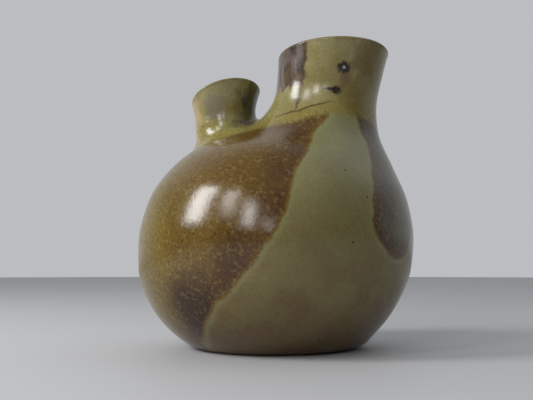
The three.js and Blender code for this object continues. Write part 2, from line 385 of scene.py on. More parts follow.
def smooth_min(a, b, width):
    """Joins two distances with a round corner, `width` wide on each side."""
    share = np.clip(1 - np.abs(a - b) / width, 0, None)
    return np.minimum(a, b) - share * share * width / 4


def globe_centre():
    """The middle of the globe."""
    return np.array((0.0, 0.0, BODY["middle"]))


def globe_shift(height):
    """How far the globe's axis has moved along X at a height."""
    return math.tan(math.radians(BODY["lean"])) * (height - BODY["middle"])


def globe_distance(points, grow=0.0):
    """How far points are outside the globe."""
    power = BODY["squareness"]
    radius = BODY["radius"] + grow
    half_height = BODY["half_height"] + grow
    height = points[..., 2]
    across = np.hypot(points[..., 0] - globe_shift(height), points[..., 1]) / radius
    along = np.abs(height - BODY["middle"]) / half_height
    level = np.maximum((across**power + along**power) ** (1 / power), 1e-6)
    steep = np.hypot(across ** (power - 1) / radius, along ** (power - 1) / half_height)
    return (level - 1) * level ** (power - 1) / np.maximum(steep, TINY)


def slope_pair(angles):
    """The slopes of two angles in degrees."""
    return [math.tan(math.radians(angle)) for angle in angles]


def neck_frame(neck):
    """The middle of the rim, and the matrix whose columns are the neck's own axes."""
    axis = Vector((*slope_pair(neck["lean"]), 1)).normalized()
    turn = Vector((0, 0, 1)).rotation_difference(axis).to_matrix()
    return np.array(neck["rim"]), np.array(turn)


def rim_normal(neck):
    """The unit vector square to the plane in which the rim is cut."""
    slope_x, slope_y = slope_pair(neck["rim_slope"])
    return np.array((-slope_x, -slope_y, 1)) / math.hypot(slope_x, slope_y, 1)


def neck_local(points, neck):
    """Points in the neck's own axes, with the origin in the middle of the rim."""
    origin, axes = neck_frame(neck)
    return (points - origin) @ axes


def neck_place(neck, around, radius, height):
    """Points at an angle about the neck's axis, a distance from it and a height above the rim."""
    origin, axes = neck_frame(neck)
    around, radius, height = np.broadcast_arrays(around, radius, height)
    local = np.stack((radius * np.cos(around), radius * np.sin(around), height), -1)
    return origin + local @ axes.T


def neck_radius(neck, height):
    """The neck's outer radius at a height above the middle of its rim."""
    share = np.clip(1 + height / neck["flare_height"], 0, None)
    return neck["waist"] + neck["flare"] * share**FLARE_POWER


def neck_distance(points, neck, grow=0.0):
    """How far points are outside the neck."""
    local = neck_local(points, neck)
    return np.hypot(local[..., 0], local[..., 1]) - neck_radius(neck, local[..., 2]) - grow


def throwing_waves(points):
    """The slight unevenness that throwing and trimming leave, in millimetres."""
    x, y, z = (points[..., i] for i in range(3))
    rings = RING_WAVE * np.sin(z / 4.9 + 0.35 * np.sin(x / 31) + 0.3 * np.sin(y / 27))
    swell = SWELL_WAVE * np.sin(x / 21 + 1.3) * np.sin(y / 25 + z / 38)
    dents = DENT_WAVE * np.sin(x / 13 - z / 17) * np.sin(y / 15 + 0.8)
    return (rings + swell + dents) * np.clip((z - WAVES_FROM) / WAVES_FADE, 0, 1)


def outer_field(points):
    """How far points are outside the clay's outer surface."""
    body = smooth_min(globe_distance(points), neck_distance(points, LARGE_NECK), LARGE_NECK["blend"])
    whole = smooth_min(body, neck_distance(points, SMALL_NECK), SMALL_NECK["blend"])
    return whole + throwing_waves(points)


def hollow_field(points):
    """How far points are outside the hollow."""
    whole = globe_distance(points, -BODY["wall"])
    for neck in (LARGE_NECK, SMALL_NECK):
        whole = smooth_min(whole, neck_distance(points, neck, -neck["wall"]), BORE_BLEND)
    return -smooth_min(-whole, points[..., 2] - BODY["floor_top"], BODY["floor_corner"])


def gradient(field, points):
    """Unit vectors in which a field grows."""
    steps = SLOPE_STEP * np.eye(3)
    vectors = np.stack([field(points + step) - field(points - step) for step in steps], -1)
    return vectors / np.linalg.norm(vectors, axis=-1, keepdims=True)


def cross(field, start, direction, reach=REACH):
    """Where rays first meet the surface on which a field is zero."""
    start, direction = np.broadcast_arrays(start, direction)
    places = np.arange(0, reach, RAY_STEP)
    values = field(start[:, None] + places[None, :, None] * direction[:, None])
    changed = np.sign(values) != np.sign(values[:, :1])
    if not changed.any(axis=1).all():
        raise RuntimeError("A ray misses the surface")
    first = changed.argmax(axis=1)
    low, high = places[first - 1], places[first]
    sign = np.sign(values[:, 0])
    for _ in range(RAY_HALVINGS):
        middle = (low + high) / 2
        same = np.sign(field(start + middle[:, None] * direction)) == sign
        low = np.where(same, middle, low)
        high = np.where(same, high, middle)
    return start + low[:, None] * direction


def sphere_direction(tilt, around):
    """Unit vectors at an angle from upright and an angle about it."""
    across = np.sin(tilt)
    return np.stack((across * np.cos(around), across * np.sin(around), np.cos(tilt)), -1)


def dome_chart(points):
    """The place of points on the flat chart of the dome, whose middle is the way straight up."""
    ray = points - globe_centre()
    tilt = np.arctan2(np.hypot(ray[:, 0], ray[:, 1]), ray[:, 2])
    around = np.arctan2(ray[:, 1], ray[:, 0])
    return np.stack((tilt * np.cos(around), tilt * np.sin(around)), -1)


def turns(count):
    """Angles that divide a full turn evenly."""
    return np.linspace(0, 2 * np.pi, count, endpoint=False)


# Necks and seams


def seam_radius(neck, around):
    """How far from the neck's axis the seam with the body runs. It draws in beside the other neck."""
    off = np.cos(around - math.radians(neck["near_azimuth"]))
    near = np.clip((off - SEAM_DRAW_START) / SEAM_DRAW, 0, 1)
    near = near * near * (3 - 2 * near)
    return neck["seam"] + (neck["seam_near"] - neck["seam"]) * near


def neck_seams(neck):
    """The outer and the inner line along which the neck meets the body."""
    around = turns(neck["columns"])
    _, axes = neck_frame(neck)
    above = neck_place(neck, around, seam_radius(neck, around), neck["straight_from"])
    outer = cross(outer_field, above, -axes[:, 2])
    ray = outer - globe_centre()
    ray /= np.linalg.norm(ray, axis=1, keepdims=True)
    return outer, cross(hollow_field, globe_centre(), ray)


def fan(field, neck, end, steps):
    """Rows of points from a seam round the corner and onto the straight neck, ends included."""
    local = neck_local(end, neck)
    around = np.arctan2(local[:, 1], local[:, 0])
    radius = np.hypot(local[:, 0], local[:, 1])
    hub = neck_place(neck, around, radius, neck["straight_from"])
    _, axes = neck_frame(neck)
    inward = neck_place(neck, around, radius - 1, neck["straight_from"]) - hub
    rows = [end]
    for step in range(1, steps + 1):
        turn = 0.5 * math.pi * step / steps
        direction = math.sin(turn) * inward - math.cos(turn) * axes[:, 2]
        rows.append(cross(field, hub, direction))
    return rows, around


def rim_height(neck, around, inset):
    """The height at which the neck's wall, `inset` from its outer face, meets the lip."""
    _, axes = neck_frame(neck)
    normal = rim_normal(neck)
    beside = np.cos(around) * (normal @ axes[:, 0]) + np.sin(around) * (normal @ axes[:, 1])
    height = np.zeros_like(around)
    for _ in range(RIM_ROUNDS):
        out = neck_radius(neck, height) - inset
        height = (-neck["lip"] - out * beside) / (normal @ axes[:, 2])
    return height


def wall_row(field, neck, around, height, inset):
    """A row of points where rays from inside the neck's wall, going outwards, meet a surface."""
    out = neck_place(neck, around, 1, 0) - neck_place(neck, around, 0, 0)
    hub = neck_place(neck, around, neck_radius(neck, height) - inset, height)
    return cross(field, hub, out, WALL_REACH)


def neck_rows(neck):
    """Closed rows round a neck: up its outside, over its lip, down its bore and back."""
    seam_outer, seam_inner = neck_seams(neck)
    rows, around = fan(outer_field, neck, seam_outer, CORNER_ROWS)
    corner, inner_around = fan(hollow_field, neck, seam_inner, BORE_CORNER_ROWS)
    drift = (inner_around - around + np.pi) % (2 * np.pi) - np.pi
    wall, start = neck["wall"], neck["straight_from"]
    top = rim_height(neck, around, 0)
    inner_top = rim_height(neck, around, wall)
    steps = max(LEAST_ROWS, round((float(top.mean()) - start) / ROW_HEIGHT))
    inner_rows = []
    for step in range(1, steps + 1):
        share = step / steps
        rows.append(wall_row(outer_field, neck, around, start + (top - start) * share, wall / 2))
        turned = around + drift * (1 - share)
        height = start + (inner_top - start) * share
        inner_rows.append(wall_row(hollow_field, neck, turned, height, wall + BORE_START))
    outside = len(rows)
    middle = (rows[-1] + inner_rows[-1]) / 2
    half = rows[-1] - middle
    up = neck["lip"] * rim_normal(neck)
    for step in range(1, LIP_ROWS):
        turn = math.pi * step / LIP_ROWS
        rows.append(middle + math.cos(turn) * half + math.sin(turn) * up)
    rows.extend(reversed(inner_rows))
    rows.extend(reversed(corner))
    return rows, outside


# Meshes


def tube_faces(rows, columns, first=0, closed=False):
    """Quads between rows of a ring-shaped grid, and between its last and first row if closed."""
    faces = []
    for row in range(rows if closed else rows - 1):
        here = first + row * columns
        above = first + (row + 1) % rows * columns
        for i in range(columns):
            k = (i + 1) % columns
            faces.append((here + i, here + k, above + k, above + i))
    return faces


def outline_sides(outline):
    """The sides of a closed outline, as pairs of points."""
    return zip(outline, np.roll(outline, -1, axis=0))


def inside_outline(points, outline):
    """Whether points lie inside a closed outline."""
    inside = np.zeros(len(points), bool)
    x, y = points[:, 0], points[:, 1]
    for (ax, ay), (bx, by) in outline_sides(outline):
        crosses = (ay > y) != (by > y)
        if ay != by:
            inside ^= crosses & (x < (bx - ax) * (y - ay) / (by - ay) + ax)
    return inside


def outline_distance(points, outline, scale=1.0):
    """How far points are from a closed outline, where `scale` is the width of a unit of x."""
    nearest = np.full(len(points), FAR)
    x, y = points[:, 0] * scale, points[:, 1]
    for (ax, ay), (bx, by) in outline_sides(outline):
        sx, sy = ax * scale, ay
        dx, dy = bx * scale - sx, by - sy
        share = ((x - sx) * dx + (y - sy) * dy) / np.maximum(dx * dx + dy * dy, TINY)
        share = np.clip(share, 0, 1)
        nearest = np.minimum(nearest, np.hypot(x - sx - share * dx, y - sy - share * dy))
    return nearest


def depth_inside(azimuth, height, radius, outline):
    """How far places lie inside an outline of azimuths and heights, and negative outside it."""
    outline = np.array(outline, float)
    depth = np.full(len(azimuth), -FAR)
    for turn in (-360, 0):
        place = np.stack((azimuth + turn, height), -1)
        away = outline_distance(place, outline, np.radians(radius))
        depth = np.maximum(depth, np.where(inside_outline(place, outline), away, -away))
    return depth


def azimuth_of(points):
    """The azimuth of points about the upright axis, in degrees."""
    return np.degrees(np.arctan2(points[:, 1], points[:, 0]))


def pour_depth(points, outline):
    """How far points lie inside a pour, in millimetres."""
    radius = np.hypot(points[:, 0], points[:, 1])
    return depth_inside(azimuth_of(points), points[:, 2], radius, outline)


def wash_depth(points):
    """How far points lie inside the iron wash of the large neck, in millimetres."""
    local = neck_local(points, LARGE_NECK)
    radius = np.hypot(local[:, 0], local[:, 1])
    depth = depth_inside(azimuth_of(local), local[:, 2], radius, IRON_WASH)
    return np.where(radius < NECK_REACH * LARGE_NECK["waist"], depth, -DEPTH_LIMIT)


def rim_depth(points):
    """How far points lie below the rim of their neck, in millimetres."""
    depth = np.full(len(points), DEPTH_LIMIT)
    for neck in (LARGE_NECK, SMALL_NECK):
        local = neck_local(points, neck)
        beside = np.hypot(local[:, 0], local[:, 1]) < NECK_REACH * neck["waist"]
        below = -(points - np.array(neck["rim"])) @ rim_normal(neck)
        depth = np.where(beside, np.minimum(depth, below), depth)
    return depth


def neck_glaze_depth(points):
    """How far points lie above the lower edge of the neck glaze, in millimetres."""
    azimuths, heights = np.array(NECK_GLAZE_EDGE, float).T
    return points[:, 2] - np.interp(azimuth_of(points), azimuths, heights)


def make_piece(name, points, faces, seam_points, replaced, material):
    """Makes a closed piece, with smooth seams and the glaze depths as attributes."""
    mesh = bpy.data.meshes.new(name)
    mesh.from_pydata((points * MM).tolist(), [], faces)
    mesh.validate()
    mesh.polygons.foreach_set("use_smooth", [True] * len(mesh.polygons))
    depths = {
        "left_pour": pour_depth(points, LEFT_POUR),
        "right_pour": pour_depth(points, RIGHT_POUR),
        "neck_glaze": neck_glaze_depth(points),
        "iron_wash": wash_depth(points),
        "rim": rim_depth(points),
    }
    for title, values in depths.items():
        attribute = mesh.attributes.new(title, "FLOAT", "POINT")
        held = np.clip(values, -DEPTH_LIMIT, DEPTH_LIMIT).astype(np.float32)
        attribute.data.foreach_set("value", held)
    normals = np.zeros((len(points), 3))
    normals[seam_points] = gradient(outer_field, points[seam_points])
    mesh.normals_split_custom_set_from_vertices(normals.tolist())
    mesh.materials.append(material)
    piece = bpy.data.objects.new(name, mesh)
    bpy.context.scene.collection.objects.link(piece)
    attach(piece, "root")
    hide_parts(*replaced)
    return piece


def make_neck(neck, node_name, material):
    """Makes a collar together with the coil at its root."""
    rows, outside = neck_rows(neck)
    columns = neck["columns"]
    faces = tube_faces(len(rows), columns, closed=True)
    outer_points = np.arange(outside * columns)
    replaced = (node_name, f"{node_name}_coil")
    name = f"{node_name}_collar"
    return make_piece(name, np.concatenate(rows), faces, outer_points, replaced, material)


def belly_ring(field, height):
    """A level ring of points on a surface."""
    around = turns(BELLY_COLUMNS)
    centre = np.array((globe_shift(height), 0.0, height))
    return cross(field, centre, sphere_direction(np.full_like(around, math.pi / 2), around))


def dome_places(holes):
    """Evenly spread places on the chart of the dome, clear of the seams with the necks."""
    rings = []
    for tilt in np.arange(RING_STEP, math.pi / 2 - RING_STEP / 2, RING_STEP):
        around = turns(max(LEAST_COLUMNS, round(BELLY_COLUMNS * math.sin(tilt)))) + tilt
        rings.append(np.stack((tilt * np.cos(around), tilt * np.sin(around)), -1))
    places = np.concatenate(rings)
    keep = np.ones(len(places), bool)
    for hole in holes:
        away = outline_distance(places, hole) * BODY["radius"]
        keep &= ~inside_outline(places, hole) & (away > SEAM_MARGIN)
    return places[keep]


def dome_triangles(places, loops, holes):
    """Triangles between places on the chart, outside its holes and all turned the same way."""
    edges = [(int(a), int(b)) for loop in loops for a, b in zip(loop, np.roll(loop, -1))]
    result = delaunay_2d_cdt([Vector(place) for place in places], edges, [], 0, 1e-7)
    if len(result[0]) != len(places):
        raise RuntimeError("The dome's seams touch each other")
    where = np.array([origin[0] for origin in result[3]])
    triangles = np.array([[where[i] for i in face] for face in result[2]])
    middles = places[triangles].mean(axis=1)
    kept = np.ones(len(triangles), bool)
    for hole in holes:
        kept &= ~inside_outline(middles, hole)
    triangles = triangles[kept]
    a, b, c = (places[triangles[:, i]] for i in range(3))
    area = (b[:, 0] - a[:, 0]) * (c[:, 1] - a[:, 1]) - (b[:, 1] - a[:, 1]) * (c[:, 0] - a[:, 0])
    triangles[area < 0] = triangles[area < 0][:, ::-1]
    return triangles


def make_dome(material):
    """Makes the dome, open under both necks."""
    seams = [neck_seams(neck) for neck in (LARGE_NECK, SMALL_NECK)]
    belly = [belly_ring(field, BODY["middle"]) for field in (outer_field, hollow_field)]
    holes = [dome_chart(outer) for outer, _ in seams]
    rims = [dome_chart(belly[0]), *holes]
    ends = np.cumsum([len(rim) for rim in rims])
    loops = [np.arange(end - len(rim), end) for rim, end in zip(rims, ends)]
    places = np.concatenate([*rims, dome_places(holes)])
    triangles = dome_triangles(places, loops, holes)
    u, v = places.T
    rays = sphere_direction(np.hypot(u, v), np.arctan2(v, u))
    outer, inner = (cross(field, globe_centre(), rays) for field in (outer_field, hollow_field))
    for loop, (seam_outer, seam_inner) in zip(loops, [belly, *seams]):
        outer[loop] = seam_outer
        inner[loop] = seam_inner
    count = len(outer)
    faces = [*triangles.tolist(), *(triangles[:, ::-1] + count).tolist()]
    for number, loop in enumerate(loops):
        for p, q in zip(loop.tolist(), np.roll(loop, -1).tolist()):
            wall = (p, q, q + count, p + count)
            faces.append(wall[::-1] if number == 0 else wall)
    points = np.concatenate((outer, inner))
    return make_piece("body_dome", points, faces, np.arange(count), ("body_upper",), material)


def level_ring(out, radii, height):
    """A level ring about the globe's axis, whose points lie out in given directions."""
    flat = out * radii + (globe_shift(height), 0)
    return np.column_stack((flat, np.full(len(flat), float(height))))


def foot_rows(above, last):
    """Rings from the lowest ring of the belly round the foot ring and into its recess."""
    out = np.stack((last[:, 0] - globe_shift(last[0, 2]), last[:, 1]), -1)
    radius = np.linalg.norm(out, axis=1, keepdims=True)
    out /= radius
    slope = above - last
    run = np.hypot(slope[:, 0], slope[:, 1])[:, None] / slope[:, 2:]
    corner = radius - run * FOOT_ROUNDING_HEIGHT * FOOT_ROUNDING_FULLNESS
    rings = []
    for share in np.linspace(0, 1, FOOT_ROWS + 1)[1:]:
        rest = 1 - share
        foot = share * share * BODY["foot_radius"]
        radii = rest * rest * radius + 2 * rest * share * corner + foot
        rings.append(level_ring(out, radii, FOOT_ROUNDING_HEIGHT * rest * rest))
    for ring, height in reversed(FOOT_PROFILE[1:]):
        rings.append(level_ring(out, np.full_like(radius, ring), height))
    return rings, np.arctan2(out[:, 1], out[:, 0])


def make_bowl(material):
    """Makes the bowl, with its floor and its foot ring."""
    middle = BODY["middle"]
    falls = np.sin(np.linspace(0, math.pi / 2, BELLY_ROWS))
    rows = [belly_ring(outer_field, middle - (middle - FOOT_ROUNDING_HEIGHT) * fall) for fall in falls]
    outside = len(rows)
    rings, around = foot_rows(rows[-2], rows[-1])
    rows += rings
    inner = [belly_ring(hollow_field, middle)]
    for tilt in np.linspace(math.pi / 2, math.pi, BELLY_ROWS)[1:-1]:
        ray = sphere_direction(np.full_like(around, tilt), around)
        inner.append(cross(hollow_field, globe_centre(), ray))
    recess = FOOT_PROFILE[0][1]
    under = np.array([[globe_shift(recess), 0, recess]])
    floor = np.array([[0, 0, BODY["floor_top"]]])
    points = np.concatenate([*rows, *inner, under, floor])
    columns = BELLY_COLUMNS
    first = len(rows) * columns
    faces = [face[::-1] for face in tube_faces(len(rows), columns)]
    faces += tube_faces(len(inner), columns, first)
    low, high = len(points) - 2, len(points) - 1
    lowest, deepest = first - columns, low - columns
    for i in range(columns):
        k = (i + 1) % columns
        faces.append((i, k, first + k, first + i))
        faces.append((lowest + k, lowest + i, low))
        faces.append((deepest + i, deepest + k, high))
    outer_points = np.arange(outside * columns)
    return make_piece("body_bowl", points, faces, outer_points, ("body_lower",), material)


# Materials

FLOAT, COLOR, VECTOR = "NodeSocketFloat", "NodeSocketColor", "NodeSocketVector"


def node(tree, kind, inputs=(), **settings):
    """Adds a node, applies its settings, and fills its inputs with values or links."""
    made = tree.nodes.new(kind)
    for key, value in settings.items():
        setattr(made, key, value)
    for key, value in dict(inputs).items():
        if isinstance(value, bpy.types.NodeSocket):
            tree.links.new(value, made.inputs[key])
        else:
            made.inputs[key].default_value = value
    return made


def mix(tree, share, first, second, blend="MIX"):
    """Mixes two colours, and returns the colour."""
    inputs = {0: share, 6: first, 7: second}
    made = node(tree, "ShaderNodeMix", inputs, data_type="RGBA", blend_type=blend)
    return made.outputs[2]


def maths(tree, operation, first, second=0.0):
    """Works out one value from others."""
    return node(tree, "ShaderNodeMath", {0: first, 1: second}, operation=operation).outputs[0]


def product(tree, first, second):
    """Two masks or values multiplied."""
    return maths(tree, "MULTIPLY", first, second)


def total(tree, *values):
    """Values added up."""
    value = values[0]
    for other in values[1:]:
        value = maths(tree, "ADD", value, other)
    return value


def ramp(tree, value, low, high, start=0.0, end=1.0):
    """Brings a value from one range to another with soft ends."""
    inputs = {"Value": value, 1: low, 2: high, 3: start, 4: end}
    return node(tree, "ShaderNodeMapRange", inputs, interpolation_type="SMOOTHSTEP").outputs[0]


def vector_maths(tree, operation, first, second=None):
    """Works out a vector from others."""
    inputs = {0: first} if second is None else {0: first, 1: second}
    return node(tree, "ShaderNodeVectorMath", inputs, operation=operation)


def new_group(name, inputs, outputs):
    """Starts a shader node group with sockets, and returns it with its input and output nodes."""
    group = bpy.data.node_groups.new(name, "ShaderNodeTree")
    for title, (kind, default) in inputs.items():
        socket = group.interface.new_socket(title, in_out="INPUT", socket_type=kind)
        if default is not None:
            socket.default_value = default
    for title, kind in outputs.items():
        group.interface.new_socket(title, in_out="OUTPUT", socket_type=kind)
    return group, group.nodes.new("NodeGroupInput"), group.nodes.new("NodeGroupOutput")


def mottle_group():
    """Soft patches: a noise brought between two levels."""
    inputs = {
        "Vector": (VECTOR, None),
        "Size": (FLOAT, 0.01),
        "Detail": (FLOAT, 3.0),
        "Low": (FLOAT, 0.4),
        "High": (FLOAT, 0.6),
    }
    group, given, result = new_group("mottle", inputs, {"Value": FLOAT})
    socket = given.outputs
    scale = maths(group, "DIVIDE", 1.0, socket["Size"])
    inputs = {"Vector": socket["Vector"], "Scale": scale, "Detail": socket["Detail"]}
    cloud = node(group, "ShaderNodeTexNoise", inputs).outputs["Fac"]
    value = ramp(group, cloud, socket["Low"], socket["High"])
    group.links.new(value, result.inputs["Value"])


def spot_group():
    """A spot in the glaze, with an uneven edge."""
    inputs = {
        "Vector": (VECTOR, None),
        "Place": (VECTOR, (0, 0, 0)),
        "Radius": (VECTOR, (0.01, 0.01, 0.01)),
        "Wobble": (FLOAT, 0.5),
        "Wobble Size": (FLOAT, 0.008),
        "Softness": (FLOAT, 0.5),
    }
    group, given, result = new_group("spot", inputs, {"Value": FLOAT})
    socket = given.outputs
    offset = vector_maths(group, "SUBTRACT", socket["Vector"], socket["Place"]).outputs[0]
    share = vector_maths(group, "DIVIDE", offset, socket["Radius"]).outputs[0]
    length = vector_maths(group, "LENGTH", share).outputs["Value"]
    scale = maths(group, "DIVIDE", 1.0, socket["Wobble Size"])
    inputs = {"Vector": socket["Vector"], "Scale": scale, "Detail": 3.0}
    lumps = node(group, "ShaderNodeTexNoise", inputs).outputs["Fac"]
    wobble = product(group, maths(group, "SUBTRACT", lumps, NOISE_MIDDLE), socket["Wobble"])
    reach = maths(group, "ADD", length, wobble)
    inner = maths(group, "SUBTRACT", 1.0, socket["Softness"])
    outer = maths(group, "ADD", 1.0, socket["Softness"])
    value = ramp(group, reach, inner, outer, 1.0, 0.0)
    group.links.new(value, result.inputs["Value"])


def spot(tree, where, place, radius, edge):
    """A spot at a place, all sizes in millimetres."""
    wobble, wobble_size, softness = edge
    radius = radius if isinstance(radius, tuple) else (radius,) * 3
    inputs = {
        "Vector": where,
        "Place": [value * MM for value in place],
        "Radius": [value * MM for value in radius],
        "Wobble": wobble,
        "Wobble Size": wobble_size * MM,
        "Softness": softness,
    }
    group = bpy.data.node_groups["spot"]
    return node(tree, "ShaderNodeGroup", inputs, node_tree=group).outputs["Value"]


def patch(tree, where, name):
    """Soft patches, as strong as the table of patches says."""
    size, low, high, strength = PATCHES[name]
    inputs = {"Vector": where, "Size": size * MM, "Low": low, "High": high}
    group = bpy.data.node_groups["mottle"]
    value = node(tree, "ShaderNodeGroup", inputs, node_tree=group).outputs["Value"]
    return product(tree, value, strength)


def fade(tree, depth, name):
    """Where a glaze, a band or a line shows, as the table of fades says."""
    low, high, strength = FADES[name]
    return product(tree, ramp(tree, depth, low, high), strength)


def noise(tree, where, size, detail=2.0):
    """A noise whose lumps have a size in millimetres."""
    inputs = {"Vector": where, "Scale": 1 / (size * MM), "Detail": detail}
    return node(tree, "ShaderNodeTexNoise", inputs).outputs["Fac"]


def uneven(tree, value, size):
    """A noise about zero, up to half a size each way."""
    return product(tree, maths(tree, "SUBTRACT", value, NOISE_MIDDLE), size)


def tint(name):
    """One of the glaze colours that the panel shows."""
    return tuple(getattr(bpy.context.scene.vase_glaze, name))


def on_neck(neck, azimuth, height):
    """The place on a neck's face at an azimuth about its axis and a height above its rim."""
    radius = float(neck_radius(neck, np.array(height)))
    return neck_place(neck, math.radians(azimuth), radius, height).tolist()


def depth(tree, name):
    """One of the depths that the pieces hold for each point."""
    return node(tree, "ShaderNodeAttribute", attribute_name=name).outputs["Fac"]


def pale_glaze(tree, where, edge):
    """Grey-green glaze, darker and warmer towards the foot through painted shade and painted warm
    bounce light.
    """
    height = node(tree, "ShaderNodeSeparateXYZ", {0: where}).outputs["Z"]
    colour = mix(tree, ramp(tree, height, *PALE_RISE), tint("pale_low"), tint("pale_top"))
    # Painted shade and painted warm bounce light: darker and warmer towards the foot
    colour = mix(tree, ramp(tree, height, *PALE_SHADE_FALL), colour, tint("pale_foot_painted_shade"))
    colour = mix(tree, patch(tree, where, "pale_cloud"), colour, tint("pale_cloud"))
    blotch = product(tree, ramp(tree, height, *BLOTCH_FALL), patch(tree, where, "pale_blotch"))
    colour = mix(tree, blotch, colour, tint("pale_blotch"))
    return mix(tree, fade(tree, edge, "pale_halo"), colour, tint("pale_halo"))


def ochre_pour(tree, where, edge):
    """Olive-ochre glaze, browner beside its edge, with a thin yellow line at the edge itself, and
    lighter and more olive on its left side, partly its own tone and partly painted light.
    """
    left = node(tree, "ShaderNodeSeparateXYZ", {0: where}).outputs["X"]
    # Lighter and more olive towards the panel lights: partly the pour's own tone, partly painted light
    colour = mix(tree, ramp(tree, left, *OLIVE_LIGHT_SIDE), tint("ochre"), tint("ochre_olive_painted_light"))
    colour = mix(tree, patch(tree, where, "ochre_cloud"), colour, tint("ochre_deep"))
    band = product(tree, fade(tree, edge, "ochre_band"), patch(tree, where, "ochre_band"))
    colour = mix(tree, band, colour, tint("ochre_brown"))
    for place, radius, strength in OCHRE_DRIPS:
        drip = spot(tree, where, place, radius, DRIP_EDGE)
        colour = mix(tree, product(tree, drip, strength), colour, tint("ochre_dark"))
    return mix(tree, fade(tree, edge, "ochre_line"), colour, tint("ochre_edge"))


def dun_pour(tree, where, edge):
    """Grey-brown glaze with a rusty band beside its edge."""
    colour = mix(tree, patch(tree, where, "dun_cloud"), tint("dun"), tint("dun_deep"))
    colour = mix(tree, fade(tree, edge, "dun_band"), colour, tint("dun_rust"))
    return mix(tree, fade(tree, edge, "dun_line"), colour, tint("dun_edge"))


def wash_colour(tree, where):
    """Violet-grey and umber streaks that run down."""
    inputs = {"Vector": where, "Scale": STREAK_STRETCH}
    flat = node(tree, "ShaderNodeMapping", inputs).outputs[0]
    streak = ramp(tree, noise(tree, flat, STREAK_SIZE, 3.0), *STREAK_LEVELS)
    colour = mix(tree, streak, tint("wash_violet"), tint("wash_umber"))
    return mix(tree, patch(tree, where, "wash_cloud"), colour, tint("wash_brown"))


def neck_marks(tree, where, colour):
    """Lays the marks, the iron wash, the iron spots and a painted glint over the neck glaze."""
    for neck, azimuth, rise, radius, mark, strength in NECK_MARKS:
        mask = spot(tree, where, on_neck(neck, azimuth, rise), radius, MARK_EDGE)
        colour = mix(tree, product(tree, mask, strength), colour, srgb(*mark))
    ragged = uneven(tree, noise(tree, where, RAGGED_SIZE, 3.0), RAGGED_DEPTH)
    wash = maths(tree, "ADD", depth(tree, "iron_wash"), ragged)
    colour = mix(tree, fade(tree, wash, "wash"), colour, wash_colour(tree, where))
    for azimuth, rise, radius in IRON_SPOTS:
        mask = spot(tree, where, on_neck(LARGE_NECK, azimuth, rise), radius, IRON_EDGE)
        colour = mix(tree, product(tree, mask, IRON_STRENGTH), colour, tint("iron"))
    # Painted glint: a small bluish white highlight in the middle of the first iron spot
    azimuth, rise, _ = IRON_SPOTS[0]
    painted_glint = spot(tree, where, on_neck(LARGE_NECK, azimuth, rise), PAINTED_GLINT_RADIUS, PAINTED_GLINT_EDGE)
    return mix(tree, painted_glint, colour, tint("iron_painted_glint"))


def neck_glaze(tree, where, above):
    """Pale olive glaze of the necks, with its marks, its dark line and its worn lips."""
    colour = mix(tree, patch(tree, where, "neck_cloud"), tint("neck_pale"), tint("neck_olive"))
    colour = mix(tree, fade(tree, above, "neck_yellow"), colour, tint("neck_yellow"))
    colour = neck_marks(tree, where, colour)
    under, over = fade(tree, above, "neck_line_under"), fade(tree, above, "neck_line_over")
    near = spot(tree, where, LINE_PLACE, LINE_RADIUS, LINE_EDGE)
    line = product(tree, product(tree, under, over), near)
    colour = mix(tree, line, colour, tint("neck_line"))
    lip = product(tree, fade(tree, depth(tree, "rim"), "lip"), patch(tree, where, "lip_wear"))
    return mix(tree, lip, colour, tint("lip_brown"))


def speckled(tree, colour, inside, fine, grain):
    """Dark and light grains over the glaze, stronger in the pours."""
    strength = total(tree, product(tree, inside, SPECKLE_POUR), SPECKLE_PALE)
    dark = product(tree, ramp(tree, fine, *DARK_LEVELS), strength)
    colour = mix(tree, dark, colour, tint("speckle_dark"), "MULTIPLY")
    light = product(tree, ramp(tree, grain, *LIGHT_LEVELS), strength)
    return mix(tree, light, colour, tint("speckle_light"), "SCREEN")


def pinholes(tree, where):
    """Where the glaze has a pinhole or a pit."""
    inputs = {"Vector": where, "Scale": 1 / (PINHOLE_CELL * MM)}
    cells = node(tree, "ShaderNodeTexVoronoi", inputs).outputs
    hole = ramp(tree, cells["Distance"], *PINHOLE_EDGE)
    chosen = node(tree, "ShaderNodeSeparateColor", {0: cells["Color"]}).outputs[0]
    hole = product(tree, hole, maths(tree, "GREATER_THAN", chosen, PINHOLE_RARITY))
    for place in PITS:
        hole = maths(tree, "MAXIMUM", hole, spot(tree, where, place, PIT_RADIUS, PIT_EDGE))
    return hole


